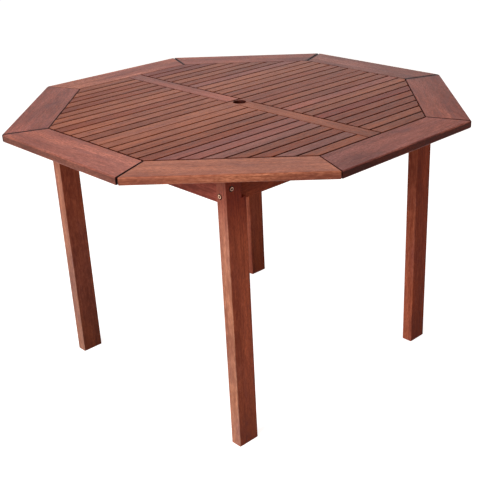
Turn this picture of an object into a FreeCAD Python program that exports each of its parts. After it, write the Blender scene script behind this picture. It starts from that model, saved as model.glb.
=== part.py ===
import FreeCAD, Part
import os
import re
import Sketcher

# An eight-sided umbrella table in stained hardwood.
# X runs along the slats, Y along the crossbar and Z up.
# The origin is on the floor, under the middle of the umbrella hole.
# Every length is in millimetres.

SIZES = {
    # Table top, flat to flat, and the eight boards of its rim
    "across_flats": 1150,
    "table_height": 740,
    "top_thick": 19,
    "rim_width": 104,
    "rim_round": 3.5,
    "eased_edge": 1,
    # Openings of the rim's mitred joints, at the outer corners and at the inner ones
    "open_s_se": 2.4,
    "open_se_e": 3.4,
    "open_e_ne": 5,
    "open_ne_n": 4,
    "open_n_nw": 0.6,
    "open_nw_w": 2.2,
    "open_w_sw": 4.4,
    "open_sw_s": 2.4,
    "inner_open_s_se": 1.8,
    "inner_open_se_e": 2.4,
    "inner_open_e_ne": 2.4,
    "inner_open_ne_n": 1,
    "inner_open_n_nw": 0.4,
    "inner_open_nw_w": 1.8,
    "inner_open_w_sw": 3.2,
    "inner_open_sw_s": 1.6,
    # Keys that hold the mitred joints
    "key_thick": 6,
    "key_length": 62,
    "key_reach": 16,
    # Slats and the tongues on their ends, and how far the slats are pushed off the middle
    "slat_rows": 12,
    "slat_gap": 4,
    "slat_drop": 0.3,
    "end_gap": 2.6,
    "push_east": 1.7,
    "push_north": 1.7,
    "tongue_thick": 7,
    "tongue_reach": 8,
    # Umbrella hole, the centre board round it and the two halves of the crossbar
    "hole_width": 36,
    "hole_margin": 2.75,
    "centre_gap_north": 5.5,
    "centre_gap_south": 1.2,
    "bar_width": 44,
    # Supports under the slats
    "rail_width": 70,
    "rail_thick": 20,
    "batten_width": 40,
    "batten_thick": 18,
    # Legs: in from the rim's slanting sides, and more so along Y than along X
    "leg_wide": 60.5,
    "leg_thick": 31.5,
    "leg_setback": 54.2,
    "leg_lead": 9.25,
    "leg_round": 2,
    # Aprons between the legs, and the laps of the two that run along X
    "apron_thick": 22,
    "apron_deep": 76.5,
    "apron_setback": 7,
    "notch_wide": 15,
    "lap_step": 8.5,
    # Blocks in the corners of the under-frame
    "block_side": 66,
    "block_high": 30,
    # Connector bolts and square nuts, with heights counted up from the aprons' lower edge
    "end_bolt_rise": 19.5,
    "bolt_step": 18,
    "bolt_width": 6,
    "head_overhang": 1.8,
    "head_high": 4,
    "head_proud": 1.2,
    "bolt_past_nut": 1.5,
    "socket_width": 4.6,
    "socket_deep": 3,
    "sink_play": 2.2,
    "nut_margin": 2,
    "nut_thick": 5,
    "nut_place": 26,
    "slot_room": 3,
    # Play round every tongue, key, bolt, nut and lap in its place
    "fit_play": 0.2,
}

# Turns, in degrees
FULL_TURN = 360
QUARTER_TURN = FULL_TURN / 4
RIM_ORDER = ["s", "se", "e", "ne", "n", "nw", "w", "sw"]
RIM_TURN = FULL_TURN / len(RIM_ORDER)
HALF_CORNER = RIM_TURN / 2
SOCKET_SIDES = 6
SOCKET_TURN = FULL_TURN / SOCKET_SIDES

# Lengths that follow from the sizes, as formulas on the sheet
HALF = "(across_flats / 2)"
INNER = "(across_flats / 2 - rim_width)"
UNDER = "(table_height - top_thick)"
SLAT_TOP = "(table_height - slat_drop)"
TONGUE_BASE = f"(({UNDER} + {SLAT_TOP} - tongue_thick) / 2)"
TONGUE_TOP = f"(({UNDER} + {SLAT_TOP} + tongue_thick) / 2)"
GROOVE_BASE = f"({TONGUE_BASE} - fit_play)"
GROOVE_TOP = f"({TONGUE_TOP} + fit_play)"
GROOVE_DEEP = "(tongue_reach + fit_play)"
WEST_GAP = "(end_gap + push_east)"
EAST_GAP = "(end_gap - push_east)"
SOUTH_GAP = "(end_gap + push_north)"
NORTH_GAP = "(end_gap - push_north)"
CENTRE_WIDTH = "(hole_width + 2 * hole_margin)"
NORTH_START = f"({CENTRE_WIDTH} / 2 + centre_gap_north)"
SOUTH_START = f"({CENTRE_WIDTH} / 2 + centre_gap_south)"
NORTH_END = f"({INNER} - {NORTH_GAP} - fit_play)"
SOUTH_END = f"({INNER} - {SOUTH_GAP} - fit_play)"
SLAT_WIDTH = f"(({NORTH_END} - {NORTH_START} + slat_gap) / slat_rows - slat_gap)"
NORTH_PITCH = f"({SLAT_WIDTH} + slat_gap)"
SOUTH_PITCH = f"(({SOUTH_END} - {SOUTH_START} - {SLAT_WIDTH}) / (slat_rows - 1))"
LEG_OUTER_X = f"(({HALF} - leg_setback) * cos({RIM_TURN}) + leg_lead)"
LEG_OUTER_Y = f"(({HALF} - leg_setback) * cos({RIM_TURN}) - leg_lead)"
LEG_INNER_X = f"({LEG_OUTER_X} - leg_wide)"
LEG_INNER_Y = f"({LEG_OUTER_Y} - leg_thick)"
SIDE_APRON_X = f"({LEG_OUTER_X} - apron_setback - apron_thick / 2)"
SIDE_INNER_X = f"({LEG_OUTER_X} - apron_setback - apron_thick)"
END_APRON_Y = f"({LEG_INNER_Y} + apron_thick / 2)"
APRON_LOW = f"({UNDER} - apron_deep)"
NOTCH_BASE = f"({APRON_LOW} + lap_step)"
LAP = "(notch_wide - fit_play)"
BATTEN_X = f"((rail_width / 2 + {SIDE_INNER_X}) / 2)"
END_BOLT_Z = f"({APRON_LOW} + end_bolt_rise)"
SIDE_BOLT_Z = f"({END_BOLT_Z} + bolt_step)"
HEAD_WIDTH = "(bolt_width + 2 * head_overhang)"
SINK_DEEP = "(head_high - head_proud)"
BOLT_HOLE = "(bolt_width + 2 * fit_play)"
NUT_WIDTH = "(bolt_width + 2 * nut_margin)"
NUT_START = "(nut_place + fit_play)"
BOLT_REACH = f"({NUT_START} + nut_thick + bolt_past_nut)"

Z_AXIS = FreeCAD.Vector(0, 0, 1)
TINY = 0.001

doc = FreeCAD.newDocument("umbrella_table")
sheet = doc.addObject("Spreadsheet::Sheet", "Sizes")
for row, (alias, value) in enumerate(SIZES.items(), start=1):
    sheet.set(f"A{row}", alias)
    sheet.set(f"B{row}", str(value))
    sheet.setAlias(f"B{row}", alias)
doc.recompute()

nodes = []


# Helpers that tie objects to the sheet

def sized(formula):
    """Point every size name in a formula at its cell."""
    return re.sub(r"[a-z_]+", lambda word: f"Sizes.{word[0]}" if word[0] in SIZES else word[0], formula)


def worth(formula):
    """Work out a formula on the sizes."""
    return float(sheet.evalExpression(sized(formula)))


def bind(thing, **formulas):
    """Tie properties of an object to formulas on the sizes."""
    for name, formula in formulas.items():
        thing.setExpression(name.replace("__", "."), sized(formula))


def place(thing, x="0", y="0", z="0", angle=0):
    """Stand an object at a point given by formulas, turned about the vertical."""
    thing.Placement = FreeCAD.Placement(FreeCAD.Vector(), FreeCAD.Rotation(Z_AXIS, angle))
    bind(thing, Placement__Base__x=x, Placement__Base__y=y, Placement__Base__z=z)
    return thing


def keep(thing, label):
    """List an object as one sub-part of the table."""
    thing.Label = label
    nodes.append(thing)
    return thing


def add(kind, name, **formulas):
    """Add a primitive whose sizes follow formulas."""
    thing = doc.addObject(kind, name)
    bind(thing, **formulas)
    return thing


def combine(kind, name, base, tool):
    """Join, cut or intersect two objects."""
    result = doc.addObject(kind, name)
    result.Base = base
    result.Tool = tool
    return result


def link_to(target, name, **where):
    """Repeat an object somewhere else."""
    link = doc.addObject("App::Link", name)
    link.LinkedObject = target
    return place(link, **where)


def group(label, members):
    """Hold several separate solids as one sub-part."""
    result = doc.addObject("Part::Compound", label)
    result.Links = members
    return keep(result, label)


# Helpers that draw sketches

def sketch_on(body, role, name, offset="0"):
    """Start a sketch on one of a body's own planes, moved along the plane's normal."""
    sketch = body.newObject("Sketcher::SketchObject", name)
    plane = next(item for item in body.Origin.OriginFeatures if item.Role == role)
    sketch.AttachmentSupport = [(plane, "")]
    sketch.MapMode = "FlatFace"
    bind(sketch, AttachmentOffset__Base__z=offset)
    return sketch


def dimension(sketch, geometry, point, across, along):
    """Fix a point of a sketch by two formulas, measured from the origin."""
    for axis, formula in (("DistanceX", across), ("DistanceY", along)):
        number = sketch.addConstraint(Sketcher.Constraint(axis, -1, 1, geometry, point, worth(formula)))
        bind(sketch, **{f"Constraints[{number}]": formula})


def polygon(sketch, corners):
    """Draw a closed outline through corners given as pairs of formulas."""
    first = sketch.GeometryCount
    spots = [FreeCAD.Vector(worth(across), worth(along), 0) for across, along in corners]
    for start, end in zip(spots, spots[1:] + spots[:1]):
        sketch.addGeometry(Part.LineSegment(start, end), False)
    for index in range(len(corners)):
        following = first + (index + 1) % len(corners)
        sketch.addConstraint(Sketcher.Constraint("Coincident", first + index, 2, following, 1))
    for index, (across, along) in enumerate(corners):
        dimension(sketch, first + index, 1, across, along)


def rectangle(sketch, left, right, low, high):
    """Draw a rectangle between four formulas."""
    polygon(sketch, [(left, low), (right, low), (right, high), (left, high)])


def circle(sketch, across, along, width):
    """Draw a circle of a given width round a point."""
    spot = FreeCAD.Vector(worth(across), worth(along), 0)
    index = sketch.addGeometry(Part.Circle(spot, Z_AXIS, worth(width) / 2), False)
    dimension(sketch, index, 3, across, along)
    number = sketch.addConstraint(Sketcher.Constraint("Diameter", index, worth(width)))
    bind(sketch, **{f"Constraints[{number}]": width})


# Helpers that shape a body

def pad(body, sketch, length, name, midplane=False):
    """Raise a sketch into a solid."""
    feature = body.newObject("PartDesign::Pad", name)
    feature.Profile = sketch
    feature.Midplane = midplane
    bind(feature, Length=length)
    doc.recompute()


def must_cut(body, before, name):
    """Stop where a cut took nothing away."""
    if body.Shape.Volume > before - TINY:
        raise RuntimeError(f"{name} cuts nothing")


def pocket(body, sketch, name, depth=None, reverse=False):
    """Cut a sketch into a body to a depth, or right through it both ways."""
    before = body.Shape.Volume
    feature = body.newObject("PartDesign::Pocket", name)
    feature.Profile = sketch
    feature.Reversed = reverse
    if depth is None:
        feature.Type = "ThroughAll"
        feature.Midplane = True
    else:
        bind(feature, Length=depth)
    doc.recompute()
    must_cut(body, before, name)


def bolt_hole(body, role, name, across, along):
    """Drill a bolt hole with a sunk mouth, in from an origin plane."""
    before = body.Shape.Volume
    sketch = sketch_on(body, role, f"{name}_sketch")
    circle(sketch, across, along, BOLT_HOLE)
    doc.recompute()
    hole = body.newObject("PartDesign::Hole", name)
    hole.Profile = sketch
    doc.recompute()
    hole.ThreadType = "None"
    hole.DepthType = "ThroughAll"
    hole.HoleCutType = "Counterbore"
    hole.Reversed = role == "YZ_Plane"
    bind(hole, Diameter=BOLT_HOLE, HoleCutDiameter=f"{HEAD_WIDTH} + 2 * sink_play", HoleCutDepth=SINK_DEEP)
    doc.recompute()
    must_cut(body, before, name)


def dress_edges(body, kind, name, chosen, **formulas):
    """Work on the edges of a body whose boxes pass a test."""
    base = body.Tip
    numbered = enumerate(base.Shape.Edges, start=1)
    edges = [f"Edge{number}" for number, edge in numbered if chosen(edge.BoundBox)]
    feature = body.newObject(kind, name)
    feature.Base = (base, edges)
    bind(feature, **formulas)
    doc.recompute()


def round_edges(body, name, radius, chosen):
    """Round the chosen edges."""
    dress_edges(body, "PartDesign::Fillet", name, chosen, Radius=radius)


def ease_edges(body, name, chosen):
    """Take the sharpness off the chosen edges with a narrow chamfer."""
    dress_edges(body, "PartDesign::Chamfer", name, chosen, Size="eased_edge")


def same(first, second):
    """Tell whether two coordinates agree."""
    return abs(first - second) < TINY


def level_at(box, height):
    """Tell whether an edge lies flat at a height."""
    return same(box.ZMin, height) and same(box.ZMax, height)


# Rim: eight mitred boards, grooved along the inner edge for the slats' tongues

def joint_name(index):
    """Name the mitred joint at the far end of a rim board, going round by the east."""
    return f"{RIM_ORDER[index]}_{RIM_ORDER[(index + 1) % len(RIM_ORDER)]}"


def mitre_end(depth, opening):
    """Place a mitred end along its board, back from the joint by half the opening."""
    return f"({depth} * tan({HALF_CORNER}) - {opening} / 2 / cos({HALF_CORNER}))"


def rim_outline(sketch, before, after):
    """Draw a rim board from above, as it lies on the south side."""
    outer_left = "-" + mitre_end(HALF, f"open_{before}")
    outer_right = mitre_end(HALF, f"open_{after}")
    inner_left = "-" + mitre_end(INNER, f"inner_open_{before}")
    inner_right = mitre_end(INNER, f"inner_open_{after}")
    polygon(sketch, [(outer_left, f"-{HALF}"), (outer_right, f"-{HALF}"),
                     (inner_right, f"-{INNER}"), (inner_left, f"-{INNER}")])


def soften_rim(body, name):
    """Round a rim board's outer edges, above and below, and ease its other upper edges."""
    whole = body.Shape.BoundBox
    round_edges(body, f"{name}_outer_round", "rim_round",
                lambda box: same(box.YMax, whole.YMin)
                and (level_at(box, whole.ZMin) or level_at(box, whole.ZMax)))
    ease_edges(body, f"{name}_eased",
               lambda box: same(box.YMax, whole.YMax) and level_at(box, whole.ZMax))


def rim_board(index):
    """Make one rim board with the slots for its two keys."""
    name = f"rim_board_{RIM_ORDER[index]}"
    before, after = joint_name(index - 1), joint_name(index)
    body = doc.addObject("PartDesign::Body", f"{name}_body")
    outline = sketch_on(body, "XY_Plane", f"{name}_outline", UNDER)
    rim_outline(outline, before, after)
    pad(body, outline, "top_thick", f"{name}_pad")
    soften_rim(body, name)
    groove = sketch_on(body, "YZ_Plane", f"{name}_groove_sketch")
    rectangle(groove, f"-({INNER} + {GROOVE_DEEP})", f"-({INNER} - eased_edge)", GROOVE_BASE, GROOVE_TOP)
    pocket(body, groove, f"{name}_groove")
    place(body, angle=index * RIM_TURN)
    slots = doc.addObject("Part::Compound", f"{name}_slots")
    slots.Links = [key_box(f"{name}_slot_{end}", joint, "fit_play")
                   for end, joint in (("before", index - 1), ("after", index))]
    keep(combine("Part::Cut", name, body, slots), name)


def key_box(name, joint, play):
    """Lay a flat key, or the room for one, across a mitred joint."""
    middle = f"(({HALF} + {INNER}) / 2 / cos({HALF_CORNER}))"
    box = add("Part::Box", name, Length=f"key_length + 2 * {play}", Width=f"2 * (key_reach + {play})",
              Height=f"key_thick + 2 * {play}")
    turn = (joint - 1) * RIM_TURN - HALF_CORNER
    along = f"({middle} - key_length / 2 - {play})"
    return place(box, angle=turn,
                 x=f"{along} * cos({turn}) + (key_reach + {play}) * sin({turn})",
                 y=f"{along} * sin({turn}) - (key_reach + {play}) * cos({turn})",
                 z=f"{UNDER} + top_thick / 2 - key_thick / 2 - {play}")


for number in range(len(RIM_ORDER)):
    rim_board(number)
group("mitre_keys", [key_box(f"key_{joint_name(number)}", number, "0") for number in range(len(RIM_ORDER))])


# Slat field: what the slats and their tongues may fill

def eight_sided(name, reach, base, top, push):
    """Make an upright eight-sided block, from its middle to a flat side given as a formula."""
    block = add("Part::Prism", name, Circumradius=f"({reach}) / cos({HALF_CORNER})", Height=f"{top} - {base}")
    block.Polygon = len(RIM_ORDER)
    return place(block, x=push[0], y=push[1], z=base, angle=HALF_CORNER)


def crossbar_room(name, half_width, base, top, push):
    """Make the long block that keeps the slats off the crossbar."""
    block = add("Part::Box", name, Length=f"2 * ({half_width})", Width="across_flats",
                Height=f"{top} - {base}")
    return place(block, x=f"{push[0]} - ({half_width})", y="-across_flats / 2", z=base)


def field(name, reach, base, top, push=("0", "0")):
    """Make the room inside the rim, on both sides of the crossbar, out by some reach."""
    outer = eight_sided(f"{name}_rim", f"{INNER} + {reach}", base, top, push)
    middle = crossbar_room(f"{name}_bar", f"bar_width / 2 - {reach}", base, top, push)
    return combine("Part::Cut", name, outer, middle)


slat_field = field("slat_field", "(-end_gap)", UNDER, SLAT_TOP, ("push_east", "push_north"))
tongue_field = field("tongue_field", "tongue_reach", TONGUE_BASE, TONGUE_TOP)


# Slats: rows on both sides of the centre board, each cut in two by the crossbar

def slat_stick():
    """Make the long stick with eased edges that every slat is cut from."""
    body = doc.addObject("PartDesign::Body", "slat_stick")
    section = sketch_on(body, "YZ_Plane", "slat_section")
    rectangle(section, "0", SLAT_WIDTH, UNDER, SLAT_TOP)
    pad(body, section, "across_flats", "slat_length", midplane=True)
    whole = body.Shape.BoundBox
    ease_edges(body, "slat_eased", lambda box: same(box.YMin, box.YMax) and level_at(box, whole.ZMax))
    return body


def tongue_stick():
    """Make the thinner stick that the tongues of a row are cut from."""
    stick = add("Part::Box", "tongue_stick", Length="across_flats", Width=SLAT_WIDTH, Height="tongue_thick")
    return place(stick, x="-across_flats / 2", z=TONGUE_BASE)


def slat_row(label, start, sticks):
    """Cut one row: two slats end to end, with tongues on their ends."""
    parts = []
    for kind, (stick, x, z, room) in sticks.items():
        copy = link_to(stick, f"{label}_{kind}_stick", x=x, y=start, z=z)
        parts.append(combine("Part::Common", f"{label}_{kind}", copy, room))
    keep(combine("Part::Fuse", label, *parts), label)


slat_sticks = {
    "body": (slat_stick(), "0", "0", slat_field),
    "tongue": (tongue_stick(), "-across_flats / 2", TONGUE_BASE, tongue_field),
}
for number in range(SIZES["slat_rows"]):
    north = f"{NORTH_START} + {number} * {NORTH_PITCH}"
    south = f"-{SOUTH_START} - {number} * {SOUTH_PITCH} - {SLAT_WIDTH}"
    slat_row(f"slat_row_n{number + 1:02d}", north, slat_sticks)
    slat_row(f"slat_row_s{number + 1:02d}", south, slat_sticks)


# Centre board and crossbar: full-thickness boards that part the slat field

def board_side(low_end, high_end, low_tongue, high_tongue):
    """List the corners of a board seen from its long side, with a tongue on the ends that have one."""
    low_steps = [(low_end, TONGUE_TOP), (f"{low_end} - {low_tongue}", TONGUE_TOP),
                 (f"{low_end} - {low_tongue}", TONGUE_BASE), (low_end, TONGUE_BASE)]
    high_steps = [(high_end, TONGUE_BASE), (f"{high_end} + {high_tongue}", TONGUE_BASE),
                  (f"{high_end} + {high_tongue}", TONGUE_TOP), (high_end, TONGUE_TOP)]
    corners = [(low_end, "table_height")] + (low_steps if low_tongue else []) + [(low_end, UNDER)]
    corners += [(high_end, UNDER)] + (high_steps if high_tongue else []) + [(high_end, "table_height")]
    return corners


def ease_top(body, name):
    """Ease the long upper edges of a board that lies along X."""
    whole = body.Shape.BoundBox
    ease_edges(body, f"{name}_eased", lambda box: level_at(box, whole.ZMax) and same(box.YMin, box.YMax))


def centre_board():
    """Make the board that runs the whole way through, with the umbrella hole."""
    body = doc.addObject("PartDesign::Body", "centre_board")
    side = sketch_on(body, "XZ_Plane", "centre_board_side")
    polygon(side, board_side(f"({WEST_GAP} - {INNER})", f"({INNER} - {EAST_GAP})",
                             f"(tongue_reach + {WEST_GAP})", f"(tongue_reach + {EAST_GAP})"))
    pad(body, side, CENTRE_WIDTH, "centre_board_pad", midplane=True)
    ease_top(body, "centre_board")
    drill_umbrella_hole(body, "centre_board")
    keep(body, "centre_board")


def drill_umbrella_hole(body, name):
    """Cut the hole for the umbrella's pole."""
    hole = sketch_on(body, "XY_Plane", f"{name}_hole_sketch", UNDER)
    circle(hole, "0", "0", "hole_width")
    pocket(body, hole, f"{name}_hole")


def crossbar(label, centre_gap, rim_gap, angle):
    """Make half of the crossbar, from the centre board to the rim, grooved on both sides."""
    body = doc.addObject("PartDesign::Body", label)
    side = sketch_on(body, "XZ_Plane", f"{label}_side")
    polygon(side, board_side(f"({CENTRE_WIDTH} / 2 + {centre_gap})", f"({INNER} - {rim_gap})", "",
                             f"(tongue_reach + {rim_gap})"))
    pad(body, side, "bar_width", f"{label}_pad", midplane=True)
    ease_top(body, label)
    for end, sign in (("left", "-"), ("right", "")):
        groove = sketch_on(body, "YZ_Plane", f"{label}_{end}_groove_sketch")
        rectangle(groove, f"{sign}(bar_width / 2 - {GROOVE_DEEP})", f"{sign}(bar_width / 2 + {GROOVE_DEEP})",
                  GROOVE_BASE, GROOVE_TOP)
        pocket(body, groove, f"{label}_{end}_groove")
    place(body, angle=angle)
    keep(body, label)


centre_board()
crossbar("crossbar_north", "centre_gap_north", NORTH_GAP, QUARTER_TURN)
crossbar("crossbar_south", "centre_gap_south", SOUTH_GAP, -QUARTER_TURN)


# Supports: a pierced rail under the crossbar and a batten under each half of the slats

def support(label, middle, width, thick):
    """Make a flat board that lies under the slats, from one end apron to the other."""
    body = doc.addObject("PartDesign::Body", label)
    outline = sketch_on(body, "XY_Plane", f"{label}_outline", f"{UNDER} - {thick}")
    rectangle(outline, f"{middle} - {width} / 2", f"{middle} + {width} / 2", f"-{LEG_INNER_Y}", LEG_INNER_Y)
    pad(body, outline, thick, f"{label}_pad")
    return keep(body, label)


umbrella_rail = support("umbrella_rail", "0", "rail_width", "rail_thick")
drill_umbrella_hole(umbrella_rail, "umbrella_rail")
support("batten_west", f"(-{BATTEN_X})", "batten_width", "batten_thick")
support("batten_east", BATTEN_X, "batten_width", "batten_thick")


# Legs: straight posts under the slanting sides of the rim

CORNERS = {"sw": ("-", "-"), "se": ("", "-"), "ne": ("", ""), "nw": ("-", "")}


def leg(corner, quarter):
    """Make one leg from its outer corner, with its wide side along X, notched for the end apron."""
    label = f"leg_{corner}"
    west, south = CORNERS[corner]
    crossed = quarter % 2 == 1
    wide_view, thin_view = ("YZ_Plane", "XZ_Plane") if crossed else ("XZ_Plane", "YZ_Plane")
    body = doc.addObject("PartDesign::Body", label)
    section = sketch_on(body, "XY_Plane", f"{label}_section")
    across, along = ("leg_thick", "leg_wide") if crossed else ("leg_wide", "leg_thick")
    rectangle(section, "0", across, "0", along)
    pad(body, section, UNDER, f"{label}_pad")
    round_edges(body, f"{label}_round", "leg_round", lambda box: box.ZLength > box.XLength + box.YLength)
    notch = sketch_on(body, wide_view, f"{label}_notch_sketch")
    rectangle(notch, "leg_wide - notch_wide", "leg_wide + notch_wide", NOTCH_BASE, f"{UNDER} + apron_deep")
    pocket(body, notch, f"{label}_notch")
    bolt_hole(body, wide_view, f"{label}_side_bolt_hole", f"{LEG_OUTER_X} - {SIDE_APRON_X}", SIDE_BOLT_Z)
    bolt_hole(body, thin_view, f"{label}_end_bolt_hole", f"{LEG_OUTER_Y} - {END_APRON_Y}", END_BOLT_Z)
    place(body, x=f"{west}{LEG_OUTER_X}", y=f"{south}{LEG_OUTER_Y}", angle=quarter * QUARTER_TURN)
    keep(body, label)


for number, corner in enumerate(CORNERS):
    leg(corner, number)


# Aprons: boards on edge between the legs, with a bolt bore and a slot for a nut at both ends

def apron_outline(half_length, lap):
    """List an apron's corners seen from outside, its upper ends reaching into the notches where it laps."""
    lower_edge = [(f"-{half_length}", APRON_LOW), (half_length, APRON_LOW)]
    if not lap:
        return lower_edge + [(half_length, UNDER), (f"-{half_length}", UNDER)]
    tip = f"({half_length} + {lap})"
    shoulder = f"({NOTCH_BASE} + fit_play)"
    return lower_edge + [(half_length, shoulder), (tip, shoulder), (tip, UNDER),
                         (f"-{tip}", UNDER), (f"-{tip}", shoulder), (f"-{half_length}", shoulder)]


def bore_apron_end(body, name, sign, tip, distance, height):
    """Slot one end of an apron from its inner face for the nut, and bore it for the bolt."""
    slot = sketch_on(body, "XZ_Plane", f"{name}_slot_sketch", f"{distance} - apron_thick / 2")
    half_high = f"({NUT_WIDTH} / 2 + fit_play)"
    rectangle(slot, f"{sign}({tip} - nut_place)", f"{sign}({tip} - nut_place - nut_thick - slot_room)",
              f"{height} - {half_high}", f"{height} + {half_high}")
    pocket(body, slot, f"{name}_slot", f"(apron_thick + {NUT_WIDTH}) / 2 + fit_play", reverse=True)
    bore = sketch_on(body, "YZ_Plane", f"{name}_bore_sketch", f"{sign}{tip}")
    circle(bore, f"-{distance}", height, BOLT_HOLE)
    pocket(body, bore, f"{name}_bore", "nut_place + nut_thick / 2", reverse=sign == "-")


def apron(label, half_length, lap, distance, height, angle):
    """Make one apron as it lies on the south side, and turn it to its own."""
    body = doc.addObject("PartDesign::Body", label)
    side = sketch_on(body, "XZ_Plane", f"{label}_side", distance)
    polygon(side, apron_outline(half_length, lap))
    pad(body, side, "apron_thick", f"{label}_pad", midplane=True)
    tip = f"({half_length} + {lap or 0})"
    bore_apron_end(body, f"{label}_low_end", "-", tip, distance, height)
    bore_apron_end(body, f"{label}_high_end", "", tip, distance, height)
    place(body, angle=angle)
    keep(body, label)


apron("apron_south", LEG_INNER_X, LAP, END_APRON_Y, END_BOLT_Z, 0)
apron("apron_east", LEG_INNER_Y, "", SIDE_APRON_X, SIDE_BOLT_Z, QUARTER_TURN)
apron("apron_north", LEG_INNER_X, LAP, END_APRON_Y, END_BOLT_Z, 2 * QUARTER_TURN)
apron("apron_west", LEG_INNER_Y, "", SIDE_APRON_X, SIDE_BOLT_Z, 3 * QUARTER_TURN)


# Corner blocks: three-cornered blocks that tie the under-frame to the top

def corner_block(corner):
    """Make the block that fills the inner corner of an apron and a leg."""
    label = f"corner_block_{corner}"
    west, south = CORNERS[corner]
    body = doc.addObject("PartDesign::Body", label)
    outline = sketch_on(body, "XY_Plane", f"{label}_outline", f"{UNDER} - block_high")
    corner_x, corner_y = f"{west}{SIDE_INNER_X}", f"{south}{LEG_INNER_Y}"
    polygon(outline, [(corner_x, corner_y), (f"{west}({SIDE_INNER_X} - block_side)", corner_y),
                      (corner_x, f"{south}({LEG_INNER_Y} - block_side)")])
    pad(body, outline, "block_high", f"{label}_pad")
    keep(body, label)


for corner in CORNERS:
    corner_block(corner)


# Connector bolts and square nuts: one of each at both ends of every apron

def bolt(name, grip):
    """Make a bolt from the top of its head, with a six-sided socket, long enough for the wood it grips."""
    body = doc.addObject("PartDesign::Body", name)
    head = sketch_on(body, "YZ_Plane", f"{name}_head_sketch")
    circle(head, "0", "0", HEAD_WIDTH)
    pad(body, head, "head_high", f"{name}_head")
    shank = sketch_on(body, "YZ_Plane", f"{name}_shank_sketch")
    circle(shank, "0", "0", "bolt_width")
    pad(body, shank, f"head_high + {grip} + {BOLT_REACH}", f"{name}_shank")
    socket = sketch_on(body, "YZ_Plane", f"{name}_socket_sketch")
    reach = f"(socket_width / 2 / cos({SOCKET_TURN / 2}))"
    turns = [SOCKET_TURN * corner for corner in range(SOCKET_SIDES)]
    polygon(socket, [(f"{reach} * cos({turn})", f"{reach} * sin({turn})") for turn in turns])
    pocket(body, socket, f"{name}_socket", "socket_deep", reverse=True)
    return body


def square_nut():
    """Make a square nut from the face that the bolt enters."""
    body = doc.addObject("PartDesign::Body", "square_nut")
    outline = sketch_on(body, "YZ_Plane", "square_nut_outline")
    rectangle(outline, f"-{NUT_WIDTH} / 2", f"{NUT_WIDTH} / 2", f"-{NUT_WIDTH} / 2", f"{NUT_WIDTH} / 2")
    circle(outline, "0", "0", BOLT_HOLE)
    pad(body, outline, "nut_thick", "square_nut_pad")
    return body


side_bolt = bolt("side_bolt", f"(leg_thick - {SINK_DEEP})")
end_bolt = bolt("end_bolt", f"(leg_wide - notch_wide - {SINK_DEEP} + fit_play)")
nut = square_nut()
side_bolts = []
end_bolts = []
nuts = []
for corner, (west, south) in CORNERS.items():
    side_way = {"x": f"{west}{SIDE_APRON_X}", "z": SIDE_BOLT_Z,
                "angle": QUARTER_TURN if south else -QUARTER_TURN}
    end_way = {"y": f"{south}{END_APRON_Y}", "z": END_BOLT_Z,
               "angle": 0 if west else 2 * QUARTER_TURN}
    side_bolts.append(link_to(side_bolt, f"side_bolt_{corner}",
                              y=f"{south}({LEG_OUTER_Y} + head_proud)", **side_way))
    end_bolts.append(link_to(end_bolt, f"end_bolt_{corner}",
                             x=f"{west}({LEG_OUTER_X} + head_proud)", **end_way))
    nuts.append(link_to(nut, f"side_nut_{corner}",
                        y=f"{south}({LEG_INNER_Y} - {NUT_START})", **side_way))
    nuts.append(link_to(nut, f"end_nut_{corner}",
                        x=f"{west}({LEG_INNER_X} + {LAP} - {NUT_START})", **end_way))
group("side_bolts", side_bolts)
group("end_bolts", end_bolts)
group("square_nuts", nuts)


# Writing the sub-parts

doc.recompute()
for thing in doc.Objects:
    if "Invalid" in thing.State or "Error" in thing.State:
        raise RuntimeError(f"{thing.Name} did not compute")
for thing in nodes:
    if thing.Shape.isNull() or not thing.Shape.isValid():
        raise RuntimeError(f"{thing.Label} has no valid shape")

os.makedirs("parts", exist_ok=True)
for thing in nodes:
    thing.Shape.exportStep(f"parts/{thing.Label}.step")
print(f"{len(nodes)} sub-parts, {sum(len(thing.Shape.Solids) for thing in nodes)} solids")
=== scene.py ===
import math
import zlib

import bmesh
import bpy
from mathutils import Euler, Matrix, Vector


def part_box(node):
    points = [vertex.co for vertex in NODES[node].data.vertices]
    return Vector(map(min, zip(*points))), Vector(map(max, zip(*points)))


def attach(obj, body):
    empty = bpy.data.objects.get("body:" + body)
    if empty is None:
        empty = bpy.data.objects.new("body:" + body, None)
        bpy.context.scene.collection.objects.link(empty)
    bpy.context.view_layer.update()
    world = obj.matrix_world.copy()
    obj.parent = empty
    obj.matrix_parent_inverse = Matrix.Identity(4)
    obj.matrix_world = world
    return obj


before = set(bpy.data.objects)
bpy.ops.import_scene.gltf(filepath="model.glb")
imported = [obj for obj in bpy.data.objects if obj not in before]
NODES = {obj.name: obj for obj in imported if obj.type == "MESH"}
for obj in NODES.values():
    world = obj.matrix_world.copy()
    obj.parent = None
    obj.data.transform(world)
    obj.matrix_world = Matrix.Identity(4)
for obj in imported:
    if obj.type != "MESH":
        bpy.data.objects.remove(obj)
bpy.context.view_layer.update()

# Camera, as solved on the long straight edges of the table in the photo
CAMERA_PLACE = (-1.5670, -1.7389, 1.3695)
CAMERA_YAW = 45.8787
CAMERA_PITCH = -24.3614
CAMERA_ROLL = -1.9768
SENSOR = 36
LENS = 66.754
SHIFT = (-0.0759, 0.01334)

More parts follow.
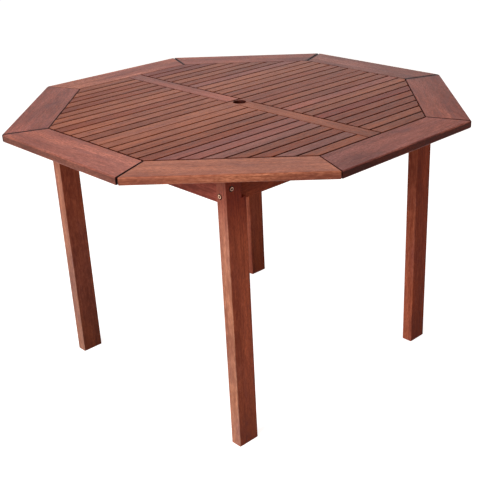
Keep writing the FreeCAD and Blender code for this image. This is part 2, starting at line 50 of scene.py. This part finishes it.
# Tones of the oiled hardwood, and of the plated steel, in sRGB
TONES = {
    "blush": (191, 115, 95),
    "rose": (168, 95, 77),
    "heather": (146, 90, 79),
    "honey": (176, 106, 78),
    "amber": (168, 98, 70),
    "tan": (160, 90, 60),
    "mauve": (145, 81, 69),
    "umber": (146, 77, 47),
    "russet": (137, 64, 33),
    "garnet": (128, 48, 24),
    "dusk": (139, 82, 74),
    "clay": (167, 96, 81),
    "dusty": (173, 109, 90),
    # Painted shadow of the top, at the top of the south-west leg
    "shade": (140, 76, 60),
    "frame": (178, 98, 73),
    # Painted sheen of the lit faces of the two west legs
    "pale_sheen": (186, 126, 100),
    # Painted shade at the foot of the north-west leg
    "foot_shade": (171, 120, 101),
    # Painted shade, for the mitre keys deep in the joints
    "inner": (92, 40, 28),
    "pore": (70, 30, 20),
    "plate": (212, 166, 138),
    "plate_dull": (176, 136, 114),
    # Dimmer copies of the plate tones, as painted shade
    "plate_shaded": (168, 128, 110),
    "plate_dull_shaded": (134, 102, 90),
    # Painted shade in the bolts' sockets
    "socket_shade": (40, 26, 20),
}


# Small helpers

SEEDS = 10007


def linear(tone):
    """A tone of the palette as the linear colour that a shader takes."""
    return (*(((level / 255 + 0.055) / 1.055) ** 2.4 for level in TONES[tone]), 1)


def seed_of(name, index=0):
    """A number from 0 to 1 that depends on a name alone, so that each run draws the same."""
    return zlib.crc32(f"{name} {index}".encode()) % SEEDS / SEEDS


def middle_of(node):
    low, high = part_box(node)
    return (low + high) / 2


def paint(node, material):
    """Puts one material on all the slots of a CAD node."""
    for slot in NODES[node].material_slots:
        slot.material = material


class Graph:
    """The nodes of one material or world, added one at a time with what goes into them."""

    def __init__(self, owner):
        self.owner = owner
        owner.use_nodes = True
        self.tree = owner.node_tree
        self.tree.nodes.clear()

    def add(self, kind, inputs, out=0, **settings):
        node = self.tree.nodes.new("ShaderNode" + kind)
        for key, value in settings.items():
            setattr(node, key, value)
        for key, value in inputs.items():
            if isinstance(value, bpy.types.NodeSocket):
                self.tree.links.new(value, node.inputs[key])
            else:
                node.inputs[key].default_value = value
        return node.outputs[out] if node.outputs else node

    def maths(self, operation, *values):
        return self.add("Math", dict(enumerate(values)), operation=operation)

    def vectors(self, operation, *values):
        out = 1 if operation in ("LENGTH", "DOT_PRODUCT") else 0
        return self.add("VectorMath", dict(enumerate(values)), out, operation=operation)

    def blend(self, share, first, second, kind="MIX"):
        """Mixes two colours. Of a Mix node, inputs 6 and 7 and output 2 are the ones for colours."""
        inputs = {0: share, 6: first, 7: second}
        return self.add("Mix", inputs, 2, data_type="RGBA", blend_type=kind)

    def tint(self, colour, shares):
        return self.blend(1.0, colour, (*shares, 1), "MULTIPLY")

    def span(self, value, low, high, start=0.0, end=1.0):
        inputs = {"Value": value, "From Min": low, "From Max": high, "To Min": start, "To Max": end}
        return self.add("MapRange", inputs)

    def noise(self, vector, stretch, detail=2.0, rough=0.5, out=0):
        stretched = self.vectors("MULTIPLY", vector, stretch)
        inputs = {"Vector": stretched, "Scale": 1.0, "Detail": detail, "Roughness": rough}
        return self.add("TexNoise", inputs, out)

    def place(self):
        """Where the shaded point is in the part's own frame."""
        return self.add("TexCoord", {}, "Object")

    def seen(self):
        """1 where the camera, a reflection or a clear piece shows the surface, and 0 for light."""
        rays = self.add("LightPath", {}).node.outputs
        seen = self.maths("MAXIMUM", rays["Is Camera Ray"], rays["Is Glossy Ray"])
        return self.maths("MAXIMUM", seen, rays["Is Transmission Ray"])


# How the faces of a board look beside its broad ones, as shares of its red, green and blue: its
# narrow sides, tinted darker and redder as painted shade, its end grain and its worn arrises. Gleam
# is the specular level, and flecks says how strong the short dark flecks are. On the top's boards
# the sides, the ends and the arrises are painted very dark, as the shade in the deep gaps between
# them. A rim board adds its outer edge and the arris above it, tinted as painted light and shade,
# its clouds and its joints, and a leg adds sides that darken towards the foot and painted shade in
# the mouths round its bolts
WORN = (1.15, 1.25, 1.3)
PLAIN = {
    # The narrow sides darker and redder, as painted shade
    "sides": (1.0, 0.85, 0.8),
    "ends": (0.5, 0.35, 0.3),
    "arris": WORN,
    "gleam": 0.05,
    "flecks": 0.45,
}
# Painted shade in the deep gaps between the top's boards: their sides, ends and arrises are tinted
# very dark
GAP_SHADE = {
    "sides": (0.17, 0.1, 0.08),
    "ends": (0.22, 0.12, 0.1),
    "arris": (0.32, 0.21, 0.18),
    "gleam": 0.1,
    "flecks": 0.45,
}


# Figure of the wood

# Which way the grain runs, and where along a board its first tone turns into the second, counted
# from its middle
ALONG_X = Euler((0, 0, 0))
ALONG_Y = Euler((0, 0, -math.pi / 2))
ALONG_Z = Euler((0, math.pi / 2, 0))
AT_CROSSBAR = (-0.02, 0.02)
SLOWLY = (-0.2, 0.2)
NEAR_TOP = (0.17, 0.29)
LOW_DOWN = (-0.1, 0.1)

# How far apart boards may lie in the noise, and how far the two halves of a row of slats do
BOARDS_APART = 3
HALVES_APART = (1.7, 0.31, 0.47)

# How the fibres wander across a board, and how far they go
WANDER = (1.7, 6, 6)
WANDER_REACH = (0, 0.016, 0.016)
NOISE_MIDDLE = (0.5, 0.5, 0.5)

# The least distance from a board's middle to its pith, across and down, and how much more it can be
PITH = (0.05, 0.06)
PITH_SPREAD = 0.1
RINGS = {"Scale": 170, "Detail": 2}

# How tight each noise is along and across the fibres, its detail and its roughness
NOISES = {
    "bands": ((2.4, 45, 45), 2, 0.5),
    "streaks": ((9, 200, 200), 2, 0.5),
    "strands": ((22, 480, 480), 3, 0.6),
    "flecks": ((110, 330, 330), 2, 0.5),
    "mottle": ((38, 130, 130), 3, 0.6),
    "pores": ((85, 2300, 2300), 1, 0.5),
    "patches": ((3.5, 17, 17), 2, 0.5),
    "greyed": ((7, 22, 22), 2, 0.5),
}

# Shares of the plain tone's red, green and blue
TINTS = {
    "deep": (0.5, 0.36, 0.32),
    "pale": (1.35, 1.3, 1.22),
    "plum": (0.74, 0.72, 0.96),
    "warm": (1.28, 1.16, 0.9),
}

# The layers in the order that they go on: the noise, its tint, two levels of the noise, and how
# strong the tint is at each of the two
LAYERS = [
    ("greyed", "plum", (0.48, 0.64), (0, 1)),
    ("greyed", "warm", (0.36, 0.5), (0.9, 0)),
    ("rings", "deep", (0.45, 0.68), (0, 0.6)),
    ("bands", "pale", (0.4, 0.62), (0, 1)),
    ("patches", "deep", (0.46, 0.66), (0, 0.85)),
    ("streaks", "deep", (0.34, 0.52), (0.7, 0)),
    ("mottle", "pale", (0.42, 0.68), (0, 0.6)),
    ("strands", "deep", (0.35, 0.62), (0.5, 0)),
]
FLECK_LEVELS = (0.34, 0.6)
PORE_LEVELS = (0.6, 0.72)
PORE_STRENGTH = 0.6

# How tight the clouds are, and the tint of each kind with the levels between which it comes or goes
CLOUDS = (5, 20, 20)
DARK_CLOUD = (0.74, 0.66, 0.76)
DARK_CLOUD_LEVELS = (0.5, 0.62)
PALE_CLOUD = (1.27, 1.35, 1.4)
PALE_CLOUD_LEVELS = (0.38, 0.5)


def along_grain(graph, node, turn, fade):
    """The place on a board with its grain along x, and how far its second tone has taken over. The
    two halves of a row of slats, which the crossbar parts, get different wood."""
    start = seed_of(node, 1) * BOARDS_APART
    shift = Vector((start, 0, 0)) - turn.to_matrix() @ middle_of(node)
    local = graph.add("Mapping", {"Vector": graph.place(), "Location": shift, "Rotation": turn})
    side = graph.span(graph.add("SeparateXYZ", {0: local}), start + fade[0], start + fade[1])
    if fade == AT_CROSSBAR:
        apart = graph.add("VectorMath", {0: HALVES_APART, "Scale": side}, operation="SCALE")
        local = graph.vectors("ADD", local, apart)
    return local, side


def fibres_of(graph, local):
    """The place on a board along its fibres, which wander a little."""
    wander = graph.noise(local, WANDER, out=1)
    wander = graph.vectors("SUBTRACT", wander, NOISE_MIDDLE)
    return graph.vectors("ADD", local, graph.vectors("MULTIPLY", wander, WANDER_REACH))


def rings_of(graph, node, fibres):
    """The growth rings, round a pith that lies somewhere beside the board."""
    across, down = (least + PITH_SPREAD * seed_of(node, 2 + axis) for axis, least in enumerate(PITH))
    off = graph.vectors("SUBTRACT", fibres, (0, across, down))
    radius = graph.vectors("LENGTH", graph.vectors("MULTIPLY", off, (0, 1, 1)))
    return graph.add("TexNoise", {"W": radius} | RINGS, noise_dimensions="1D")


def figured(graph, colour, noises, pores, flecks):
    """Lays the figure over a plain colour."""
    tints = {key: graph.tint(colour, shares) for key, shares in TINTS.items()}
    for noise, tint, levels, strengths in [*LAYERS, ("flecks", "deep", FLECK_LEVELS, (flecks, 0))]:
        colour = graph.blend(graph.span(noises[noise], *levels, *strengths), colour, tints[tint])
    return graph.blend(graph.span(pores, 0, 1, 0, PORE_STRENGTH), colour, linear("pore"))


def clouded(graph, colour, fibres, strength):
    """Gives a wide board soft dark and pale clouds."""
    clouds = graph.noise(fibres, CLOUDS)
    dark = graph.tint(colour, DARK_CLOUD)
    pale = graph.tint(colour, PALE_CLOUD)
    colour = graph.blend(graph.span(clouds, *DARK_CLOUD_LEVELS, 0, strength), colour, dark)
    return graph.blend(graph.span(clouds, *PALE_CLOUD_LEVELS, strength, 0), colour, pale)


# Faces of a board

# The two values of the normal's part in a direction between which each tint comes or goes
ARRIS_FACING = (0.08, 0.35)
BROAD_FACING = (0.15, 0.8)
OUTER_FACING = (0.1, 0.5)
END_FACING = (0.35, 0.6)

# How worn the arrises are at two levels of the strands, so that the wear is patchy
WEAR_LEVELS = (0.4, 0.55)
WEAR = (0.3, 0.9)

# The heights between which the darkening of a leg's sides fades out upwards, and the tints of that
# darkening, of the painted shade in the bolts' mouths and of soaked oil
LOW_DARKENING_HEIGHTS = (0, 0.22)
LOW_DARKENING = (0.62, 0.52, 0.36)
MOUTH_SHADE = (0.16, 0.1, 0.08)
OIL = (0.22, 0.05, 0.03)

# How far the painted shade reaches round the bolts' mouths and in the bolts' sockets, and how far the
# edges of tints are blurred
MOUTH_RADIUS = 0.0072
SOCKET_RADIUS = 0.0026
BOLT_BLUR = 0.0002
OIL_BLUR = 0.0008


def near_bolts(graph, radius):
    """A mask that is 1 within a radius of the axis of any connector bolt, and 0 elsewhere."""
    place = graph.vectors("ABSOLUTE", graph.place())
    shares = []
    for node, keep in (("side_bolts", (1, 0, 1)), ("end_bolts", (0, 1, 1))):
        low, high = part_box(node)
        head = (high.z - low.z) / 2
        axis = Vector(keep) * Vector((high.x - head, high.y - head, (high.z + low.z) / 2))
        off = graph.vectors("SUBTRACT", graph.vectors("MULTIPLY", place, keep), axis)
        length = graph.vectors("LENGTH", off)
        shares.append(graph.span(length, radius - BOLT_BLUR, radius + BOLT_BLUR, 1, 0))
    return graph.maths("MAXIMUM", *shares)


def soaked(graph, colour, joints):
    """Darkens the rim beside its mitred ends, where the oil has gone into the end grain. Joints has
    the angle of each joint about the table's middle and how far the dark reaches from it."""
    place = graph.place()
    dark = graph.tint(colour, OIL)
    for angle, reach in joints:
        across = (-math.sin(angle), math.cos(angle), 0)
        off = graph.maths("ABSOLUTE", graph.vectors("DOT_PRODUCT", place, across))
        share = graph.span(off, reach - OIL_BLUR, reach + OIL_BLUR, 1, 0)
        colour = graph.blend(share, colour, dark)
    return colour


def darkened_low(graph, colour, shares):
    """Tints a colour more and more towards the floor."""
    height = graph.add("SeparateXYZ", {0: graph.place()}, "Z")
    return graph.blend(graph.span(height, *LOW_DARKENING_HEIGHTS, 1, 0), colour, graph.tint(colour, shares))


def faced(graph, colour, strands, turn, finish):
    """Tints the narrow sides, the ends and the arrises of a board: painted shade on the sides, and on
    the top's boards painted shade on the ends and arrises as well. The outer edge of a rim board is on
    its local -y side."""
    normal = graph.add("NewGeometry", {}, "Normal")
    facing = graph.add("Mapping", {"Vector": normal, "Rotation": turn}, vector_type="VECTOR")
    parts = graph.add("SeparateXYZ", {0: facing}).node.outputs
    lengthwise = graph.maths("ABSOLUTE", parts["X"])
    outward = graph.maths("MULTIPLY", parts["Y"], -1.0)
    sideways = graph.maths("ABSOLUTE", outward)
    level = graph.maths("ABSOLUTE", parts["Z"])
    arris = graph.span(graph.maths("MULTIPLY", sideways, level), *ARRIS_FACING)
    worn = graph.maths("MULTIPLY", arris, graph.span(strands, *WEAR_LEVELS, *WEAR))
    upright = graph.span(level, *BROAD_FACING, 1, 0)
    sides = graph.tint(colour, finish["sides"])
    ends = graph.tint(colour, finish["ends"])
    eased = graph.tint(colour, finish["arris"])
    if "low_darkening" in finish:
        sides = darkened_low(graph, sides, finish["low_darkening"])
    # The outer edge and the arris above it take painted light and shade
    if "edge" in finish:
        outside = graph.span(outward, *OUTER_FACING)
        sides = graph.blend(outside, sides, graph.tint(colour, finish["edge"]))
        eased = graph.blend(outside, eased, graph.tint(colour, finish["edge_arris"]))
    colour = graph.blend(upright, colour, sides)
    colour = graph.blend(graph.span(lengthwise, *END_FACING), colour, ends)
    return graph.blend(worn, colour, eased)


# Wood

STRAND_RELIEF = 0.6
WOOD_RELIEF = {"Strength": 0.35, "Distance": 0.0004}
STRAND_LEVELS = (0.3, 0.7)
ROUGHNESS = 0.5
INNER_ROUGHNESS = 0.7
ROUGHNESS_SPREAD = (-0.06, 0.1)


def wood(node, turn, tones, fade=SLOWLY, finish=PLAIN, roughness=ROUGHNESS):
    """Gives a CAD node straight-grained hardwood of its own, with its grain along the local x axis
    after the turn. The first tone turns into the second between the two places of fade."""
    graph = Graph(bpy.data.materials.new(node))
    local, side = along_grain(graph, node, turn, fade)
    fibres = fibres_of(graph, local)
    noises = {key: graph.noise(fibres, *settings) for key, settings in NOISES.items()}
    noises["rings"] = rings_of(graph, node, fibres)
    strands = noises["strands"]
    pores = graph.span(noises["pores"], *PORE_LEVELS)

    colour = graph.blend(side, linear(tones[0]), linear(tones[1]))
    colour = figured(graph, colour, noises, pores, finish["flecks"])
    if "clouds" in finish:
        colour = clouded(graph, colour, fibres, finish["clouds"])
    colour = faced(graph, colour, strands, turn, finish)
    if "joints" in finish:
        colour = soaked(graph, colour, finish["joints"])
    # Painted shade in the mouths of the bolt holes
    if "mouth_shade" in finish:
        mouth_shade = graph.tint(colour, finish["mouth_shade"])
        colour = graph.blend(near_bolts(graph, MOUTH_RADIUS), colour, mouth_shade)

    relief = graph.maths("SUBTRACT", graph.maths("MULTIPLY", strands, STRAND_RELIEF), pores)
    least, most = (roughness + change for change in ROUGHNESS_SPREAD)
    shown = {
        "Base Color": colour,
        "Roughness": graph.span(strands, *STRAND_LEVELS, least, most),
        "Normal": graph.add("Bump", {"Height": relief} | WOOD_RELIEF),
        "Specular IOR Level": finish["gleam"],
    }
    graph.add("OutputMaterial", {"Surface": graph.add("BsdfPrincipled", shown)})
    paint(node, graph.owner)


# Rim

# The tones of each board at its two ends, its outer edge and the arris above it beside its top, its
# gleam, and how strong its clouds are. The tints of the outer edges are painted light and shade, set
# board by board for how each edge is lit, and the west board's darker arris is painted shade over its
# highlight, while the others are worn. The boards go round from the east by the north
EDGE_SHADE = (0.7, 0.6, 0.56)
RIM = {
    "e": ("heather", "heather", EDGE_SHADE, WORN, 0.08, 1.0),
    "ne": ("mauve", "blush", EDGE_SHADE, WORN, 0.08, 1.0),
    "n": ("blush", "dusty", EDGE_SHADE, WORN, 0.08, 0.8),
    "nw": ("mauve", "mauve", EDGE_SHADE, WORN, 0.12, 1.0),
    "w": ("rose", "blush", (0.35, 0.35, 0.32), (0.62, 0.72, 0.78), 0.14, 0.3),
    "sw": ("honey", "honey", (0.93, 1.0, 1.0), WORN, 0.13, 0.6),
    "s": ("dusk", "clay", (0.36, 0.19, 0.11), WORN, 0.08, 1.0),
    "se": ("rose", "mauve", (0.6, 0.51, 0.48), WORN, 0.08, 0.6),
}
RIM_FLECKS = 0.8

# How far the dark end grain shows beside each joint, from the one between east and north-east on
SOAKED = (0.0074, 0.0048, 0, 0.0054, 0.0034, 0, 0.0032, 0.009)
SIDE_ANGLE = math.tau / len(RIM)
for index, (name, (first, last, edge, edge_arris, gleam, clouds)) in enumerate(RIM.items()):
    facing = SIDE_ANGLE * index
    before, after = facing - SIDE_ANGLE / 2, facing + SIDE_ANGLE / 2
    finish = GAP_SHADE | {
        "edge": edge,
        "edge_arris": edge_arris,
        "gleam": gleam,
        "clouds": clouds,
        "flecks": RIM_FLECKS,
        "joints": [(before, SOAKED[index - 1]), (after, SOAKED[index])],
    }
    grain = Euler((0, 0, -facing - math.pi / 2))
    wood("rim_board_" + name, grain, (first, last), SLOWLY, finish)
# The mitre keys are painted dark, as the shade deep in the joints
wood("mitre_keys", ALONG_X, ("inner", "inner"), roughness=INNER_ROUGHNESS)


# Field of slats

# The tones of the slats from the centre board outwards, west and east of the crossbar
NORTH_ROWS = [
    ("umber", "umber"),
    ("amber", "russet"),
    ("tan", "tan"),
    ("russet", "tan"),
    ("amber", "amber"),
    ("tan", "mauve"),
    ("tan", "russet"),
    ("russet", "umber"),
    ("umber", "russet"),
    ("russet", "umber"),
    ("tan", "garnet"),
    ("umber", "garnet"),
]
SOUTH_ROWS = [
    ("tan", "russet"),
    ("tan", "umber"),
    ("umber", "russet"),
    ("umber", "rose"),
    ("russet", "tan"),
    ("mauve", "umber"),
    ("mauve", "garnet"),
    ("heather", "russet"),
    ("umber", "russet"),
    ("russet", "russet"),
    ("heather", "umber"),
    ("umber", "umber"),
]
for letter, rows in (("n", NORTH_ROWS), ("s", SOUTH_ROWS)):
    for index, tones in enumerate(rows, 1):
        wood(f"slat_row_{letter}{index:02d}", ALONG_X, tones, AT_CROSSBAR, GAP_SHADE)
wood("centre_board", ALONG_X, ("amber", "russet"), AT_CROSSBAR, GAP_SHADE)
wood("crossbar_north", ALONG_Y, ("rose", "mauve"), SLOWLY, GAP_SHADE)
wood("crossbar_south", ALONG_Y, ("umber", "tan"), SLOWLY, GAP_SHADE)


# Frame under the top

# The tones of each leg below and above its fade, the two places of the fade, its north and south
# faces beside its east and west ones, and its gleam. The tints of the north and south faces are
# painted shade beside the lit east and west faces. On the two west legs the pale tone is a painted
# sheen, the darker tone at the top of the south-west leg is the painted shadow of the top, and the
# darker tone at the foot of the north-west leg is painted shade
LEGS = {
    "sw": ("pale_sheen", "shade", NEAR_TOP, (1.03, 0.575, 0.45), 0.1),
    "nw": ("foot_shade", "pale_sheen", LOW_DOWN, (0.71, 0.43, 0.36), 0.09),
    "se": ("frame", "frame", SLOWLY, (0.93, 0.68, 0.58), 0.05),
    "ne": ("frame", "frame", SLOWLY, (0.87, 0.75, 0.68), 0.06),
}
# The legs' end grain is tinted far lighter, as painted light that lifts the shade on the ledges of the
# notches under the aprons
LEG = PLAIN | {"ends": (2.2, 1.6, 1.4), "low_darkening": LOW_DARKENING, "mouth_shade": MOUTH_SHADE}
for corner, (foot, top, fade, sides, gleam) in LEGS.items():
    wood("leg_" + corner, ALONG_Z, (foot, top), fade, LEG | {"sides": sides, "gleam": gleam})
    wood("corner_block_" + corner, ALONG_X, ("frame", "frame"))
for node in ("apron_south", "apron_north"):
    wood(node, ALONG_X, ("frame", "frame"))
for node in ("apron_east", "batten_west", "batten_east", "umbrella_rail"):
    wood(node, ALONG_Y, ("frame", "frame"))
# The west apron takes a darker tone, as painted shade under the top's overhang
wood("apron_west", ALONG_Y, ("mauve", "mauve"))


# Metal

MARKS = ((900, 900, 900), 3, 0.6)
MARK_LEVELS = (0.3, 0.7)
MARK_ROUGHNESS = (0.3, 0.48)
METAL_RELIEF = {"Strength": 0.12, "Distance": 0.0001}
SPOTS = (160, 160, 160)
SPOT_LEVELS = (0.4, 0.65)


def plated(name, bright, dull):
    """Plated steel with a warm sheen and fine turning marks, with painted shade in the sockets."""
    graph = Graph(bpy.data.materials.new(name))
    place = graph.place()
    marks = graph.noise(place, *MARKS)
    spots = graph.span(graph.noise(place, SPOTS), *SPOT_LEVELS)
    colour = graph.blend(spots, linear(bright), linear(dull))
    shown = {
        "Base Color": graph.blend(near_bolts(graph, SOCKET_RADIUS), colour, linear("socket_shade")),
        "Roughness": graph.span(marks, *MARK_LEVELS, *MARK_ROUGHNESS),
        "Normal": graph.add("Bump", {"Height": marks} | METAL_RELIEF),
        "Metallic": 1.0,
    }
    graph.add("OutputMaterial", {"Surface": graph.add("BsdfPrincipled", shown)})
    return graph.owner


# The bolts all have one plating; the dimmer copy is painted shade on the side bolts and the square
# nuts
METAL = plated("bolt_plated", "plate", "plate_dull")
PLATE_IN_SHADE = plated("bolt_plated_shaded", "plate_shaded", "plate_dull_shaded")
paint("end_bolts", METAL)
paint("side_bolts", PLATE_IN_SHADE)
paint("square_nuts", PLATE_IN_SHADE)


# Softened edges

# How far the rounding reaches on each kind of node, and in how many steps
SOFTENED = [
    (("apron", "batten", "corner_block", "umbrella_rail"), 0.0015, 3),
    (("slat_row", "crossbar", "centre_board"), 0.0008, 2),
    (("rim_board", "leg"), 0.0006, 2),
]
WELDED_WITHIN = 0.00001
FLAT_WITHIN = math.radians(0.5)
SHARP_FROM = math.radians(40)


def soften(node, width, steps):
    """Rounds the sharp edges of a CAD node a little, as sanding leaves them."""
    piece = NODES[node]
    joined = piece.modifiers.new("joined", "WELD")
    joined.merge_threshold = WELDED_WITHIN
    flat = piece.modifiers.new("flat", "DECIMATE")
    flat.decimate_type = "DISSOLVE"
    flat.angle_limit = FLAT_WITHIN
    round_off = piece.modifiers.new("rounded", "BEVEL")
    round_off.width = width
    round_off.segments = steps
    round_off.limit_method = "ANGLE"
    round_off.angle_limit = SHARP_FROM


for kinds, width, steps in SOFTENED:
    for node in NODES:
        if node.startswith(kinds):
            soften(node, width, steps)


# Screws under the top

HEAD_RADIUS = 0.0036
HEAD_SIDES = 20
HEAD_TAPER = 0.92
HEAD_PROUD = 0.0004
RECESS_DEPTH = 0.0011
RECESS_ARM = 0.0019
RECESS_HALF = 0.00042
RECESS_TAPER = 0.7
BATTEN_ZIGZAG = 0.008
BATTEN_END_ROOM = 0.01
BATTEN_ROWS = 8
RAIL_SCREWS = (0.06, 0.15, 0.24, 0.31)
RAIL_SCREW_SIDE = 0.013
BLOCK_SCREW_IN = 0.018
BLOCK_SCREW_ALONG = 0.04


def round_outline(radius, sides):
    angles = [math.tau * step / sides for step in range(sides)]
    return [(radius * math.cos(angle), radius * math.sin(angle)) for angle in angles]


def cross_outline(half, arm):
    """A cross. Half is half the width of a bar, and arm is how far it reaches."""
    outline = []
    for step in range(4):
        cos, sin = round(math.cos(step * math.pi / 2)), round(math.sin(step * math.pi / 2))
        quarter = [(half, half), (half, arm), (-half, arm)]
        outline += [(x * cos - y * sin, x * sin + y * cos) for x, y in quarter]
    return outline


def scaled(outline, share):
    return [(x * share, y * share) for x, y in outline]


def driven_head(mesh, place, turn):
    """A countersunk head with a cross recess, its face down, set just proud of the wood."""
    cos, sin = math.cos(turn), math.sin(turn)

    def ring(points, drop):
        found = []
        for x, y in points:
            found.append(mesh.verts.new(Vector((x * cos - y * sin, x * sin + y * cos, -drop)) + place))
        return found

    def band(outer, inner):
        count = len(outer)
        for step in range(count):
            after = (step + 1) % count
            mesh.faces.new((outer[step], outer[after], inner[after], inner[step]))

    rim = round_outline(HEAD_RADIUS, HEAD_SIDES)
    cross = cross_outline(RECESS_HALF, RECESS_ARM)
    low, high = ring(rim, 0), ring(scaled(rim, HEAD_TAPER), HEAD_PROUD)
    band(low, high)
    mouth = ring(cross, HEAD_PROUD)
    floor = ring(scaled(cross, RECESS_TAPER), HEAD_PROUD - RECESS_DEPTH)
    band(mouth, floor)
    mesh.faces.new(floor)
    edges = []
    for loop in (high, mouth):
        for step, vertex in enumerate(loop):
            after = loop[(step + 1) % len(loop)]
            edges.append(mesh.edges.get((vertex, after)))
    bmesh.ops.triangle_fill(mesh, edges=edges, use_beauty=True)


def screws(name, places):
    """One piece with a screw head at each place, each turned its own way."""
    mesh = bmesh.new()
    for index, place in enumerate(places):
        driven_head(mesh, Vector(place), math.tau * seed_of(name, index))
    bmesh.ops.recalc_face_normals(mesh, faces=mesh.faces)
    data = bpy.data.meshes.new(name)
    mesh.to_mesh(data)
    data.materials.append(METAL)
    made = bpy.data.objects.new(name, data)
    bpy.context.scene.collection.objects.link(made)
    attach(made, "root")


def batten_screws(node):
    """A screw into each row of slats that the batten carries, in a zigzag."""
    low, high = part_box(node)
    places = []
    for letter in "ns":
        for index in range(1, BATTEN_ROWS + 1):
            row = middle_of(f"slat_row_{letter}{index:02d}")
            shift = BATTEN_ZIGZAG if index % 2 else -BATTEN_ZIGZAG
            if abs(row.y) < high.y - BATTEN_END_ROOM:
                places.append((middle_of(node).x + shift, row.y, low.z))
    screws("screws_" + node, places)


def rail_screws(node):
    """Pairs of screws along the rail, up into the crossbar."""
    low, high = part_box(node)
    places = []
    for reach in RAIL_SCREWS:
        for side in (-RAIL_SCREW_SIDE, RAIL_SCREW_SIDE):
            for end in (-reach, reach):
                places.append((side, end, low.z))
    screws("screws_" + node, places)


def block_screws(node):
    """Two screws up into the top, one near each of the block's two outer sides."""
    low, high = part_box(node)
    out_x, out_y = max(low.x, high.x, key=abs), max(low.y, high.y, key=abs)
    in_x, in_y = math.copysign(BLOCK_SCREW_IN, out_x), math.copysign(BLOCK_SCREW_IN, out_y)
    along_x, along_y = math.copysign(BLOCK_SCREW_ALONG, out_x), math.copysign(BLOCK_SCREW_ALONG, out_y)
    places = [(out_x - in_x, out_y - along_y, low.z), (out_x - along_x, out_y - in_y, low.z)]
    screws("screws_" + node, places)


batten_screws("batten_west")
batten_screws("batten_east")
rail_screws("umbrella_rail")
for corner in ("sw", "se", "ne", "nw"):
    block_screws("corner_block_" + corner)


# Stage

WHITE = (1, 1, 1, 1)
FILL = {"Color": (1.0, 0.87, 0.77, 1), "Strength": 0.3}
FLOOR_REACH = 30
FLOOR_DROP = 0.0004
FLOOR_BOUNCE = (0.45, 0.45, 0.45, 1)
FLOOR_SHOWN = (0.8, 0.8, 0.8, 1)
FLOOR_GLOW = 0.82

# Each lamp's place and target, its size, its power, its share in highlights and its colour
LAMPS = {
    "left_softbox": ((-2.4, -0.35, 1.4), (0, 0, 0.45), (1.6, 1.4), 60, 1.0, (0.96, 1.0, 1.06)),
    "top_softbox": ((-0.4, 0.2, 2.7), (0, 0, 0.7), (2.2, 2.2), 14, 1.0, (1, 1, 1)),
    "back_softbox": ((2.1, 2.1, 1.7), (0, 0, 0.6), (2.2, 1.2), 10, 0.3, (1, 1, 1)),
}


def floor_material():
    """White to the eye and pale grey to the light, so that the underside isn't lit too much. It keeps
    the shadow."""
    graph = Graph(bpy.data.materials.new("floor_white"))
    bounce = graph.add("BsdfDiffuse", {"Color": FLOOR_BOUNCE})
    lit = graph.add("BsdfDiffuse", {"Color": FLOOR_SHOWN})
    glow = graph.add("Emission", {"Color": WHITE, "Strength": FLOOR_GLOW})
    shown = graph.add("AddShader", {0: lit, 1: glow})
    shader = graph.add("MixShader", {0: graph.seen(), 1: bounce, 2: shown})
    graph.add("OutputMaterial", {"Surface": shader})
    return graph.owner


def make_floor():
    """A wide plain floor, a hair below the feet."""
    mesh = bpy.data.meshes.new("floor")
    corners = [(x * FLOOR_REACH, y * FLOOR_REACH, 0) for x, y in ((-1, -1), (1, -1), (1, 1), (-1, 1))]
    mesh.from_pydata(corners, [], [(0, 1, 2, 3)])
    mesh.materials.append(floor_material())
    floor = bpy.data.objects.new("floor", mesh)
    bpy.context.scene.collection.objects.link(floor)
    floor.location.z = -FLOOR_DROP


def make_world():
    """White where the camera or a reflection sees it, and a soft fill elsewhere."""
    graph = Graph(bpy.data.worlds.new("studio"))
    fill = graph.add("Background", FILL)
    white = graph.add("Background", {"Color": WHITE, "Strength": 1.0})
    shader = graph.add("MixShader", {0: graph.seen(), 1: fill, 2: white})
    graph.add("OutputWorld", {"Surface": shader})
    bpy.context.scene.world = graph.owner


def lamp(name, place, target, size, power, gleam, colour):
    """A softbox that faces the target and isn't seen by the camera."""
    data = bpy.data.lights.new(name, "AREA")
    data.shape = "RECTANGLE"
    data.size, data.size_y = size
    data.energy = power
    data.specular_factor = gleam
    data.color = colour
    made = bpy.data.objects.new(name, data)
    bpy.context.scene.collection.objects.link(made)
    made.location = place
    aim = Vector(target) - Vector(place)
    made.rotation_euler = aim.to_track_quat("-Z", "Y").to_euler()
    made.visible_camera = False


def make_camera():
    data = bpy.data.cameras.new("camera")
    data.sensor_width = SENSOR
    data.sensor_fit = "HORIZONTAL"
    data.lens = LENS
    data.shift_x, data.shift_y = SHIFT
    made = bpy.data.objects.new("camera", data)
    bpy.context.scene.collection.objects.link(made)
    yaw, pitch, roll = (math.radians(turn) for turn in (CAMERA_YAW, CAMERA_PITCH, CAMERA_ROLL))
    look = Vector((math.cos(pitch) * math.cos(yaw), math.cos(pitch) * math.sin(yaw), math.sin(pitch)))
    right = Vector((math.sin(yaw), -math.cos(yaw), 0))
    up = right.cross(look)
    across = right * math.cos(roll) + up * math.sin(roll)
    upward = up * math.cos(roll) - right * math.sin(roll)
    turn = Matrix((across, upward, -look)).transposed()
    made.matrix_world = Matrix.Translation(CAMERA_PLACE) @ turn.to_4x4()
    bpy.context.scene.camera = made


make_floor()
make_world()
for name, settings in LAMPS.items():
    lamp(name, *settings)
make_camera()
bpy.context.scene.view_settings.view_transform = "Standard"
